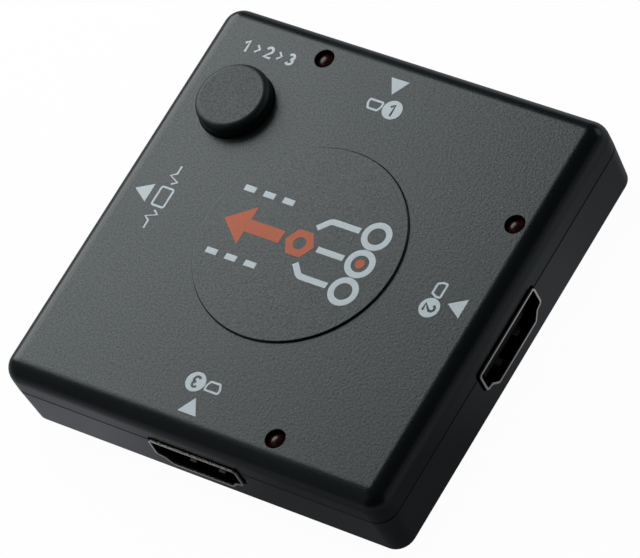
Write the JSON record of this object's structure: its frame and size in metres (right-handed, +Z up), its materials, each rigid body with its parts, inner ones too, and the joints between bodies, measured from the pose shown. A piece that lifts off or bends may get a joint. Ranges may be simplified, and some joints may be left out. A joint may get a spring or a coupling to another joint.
{
  "type": "video switch box",
  "caption": "Flat square video switch box: two moulded covers, a socket in each wall, a round push button, lamps beside the inputs, and a circuit board with its push switch inside.",
  "frame": {"origin": "centre of the base, on the surface that the box stands on", "axes": "+Z up through the top face, +X out of the socket of input 2, +Y out of the socket of input 1"},
  "size_m": [0.0638, 0.0638, 0.0149],
  "materials": {
    "case_plastic": "fine spark-eroded grain, soft sheen",
    "button_plastic": "fine spark-eroded grain on top, smoother sides",
    "screw_steel": "zinc plated",
    "board_green": "solder mask over glass-fibre sheet",
    "black_nylon": "moulded, plain",
    "tinned_steel": "tin plated",
    "nickel_shell": "nickel plated, stamped and folded",
    "gilt_contacts": "gold flashed",
    "red_lens": "clear cast epoxy, tinted dark red",
    "chip_epoxy": "moulded, plain",
    "tan_ceramic": "fired ceramic"
  },
  "bodies": {
    "case": {"top_cover": "case_plastic", "bottom_cover": "case_plastic", "case_screws": "screw_steel", "circuit_board": "board_green", "switch_base": "black_nylon", "switch_plate": "tinned_steel", "switch_dome": "tinned_steel", "switch_terminals": "tinned_steel", "input_1_shell": "nickel_shell", "input_2_shell": "nickel_shell", "input_3_shell": "nickel_shell", "output_shell": "nickel_shell", "input_1_insulator": "black_nylon", "input_2_insulator": "black_nylon", "input_3_insulator": "black_nylon", "output_insulator": "black_nylon", "input_1_contacts": "gilt_contacts", "input_2_contacts": "gilt_contacts", "input_3_contacts": "gilt_contacts", "output_contacts": "gilt_contacts", "input_1_lamp": "red_lens", "input_2_lamp": "red_lens", "input_3_lamp": "red_lens", "lamp_leads": "tinned_steel", "selector_chip": "chip_epoxy", "selector_chip_pins": "tinned_steel", "memory_chips": "chip_epoxy", "memory_chip_pins": "tinned_steel", "voltage_regulator": "chip_epoxy", "regulator_pins": "tinned_steel", "chip_resistors": "chip_epoxy", "chip_capacitors": "tan_ceramic"},
    "button": {"select_button": "button_plastic", "switch_plunger": "black_nylon"}
  },
  "joints": [
    {"name": "button_press", "type": "slide", "parent": "case", "child": "button", "axis": [0, 0, -1], "range_m": [0, 0.0003], "stiffness_N_per_m": 4000, "springref_m": -0.0001, "deforming": ["switch_dome"]}
  ]
}
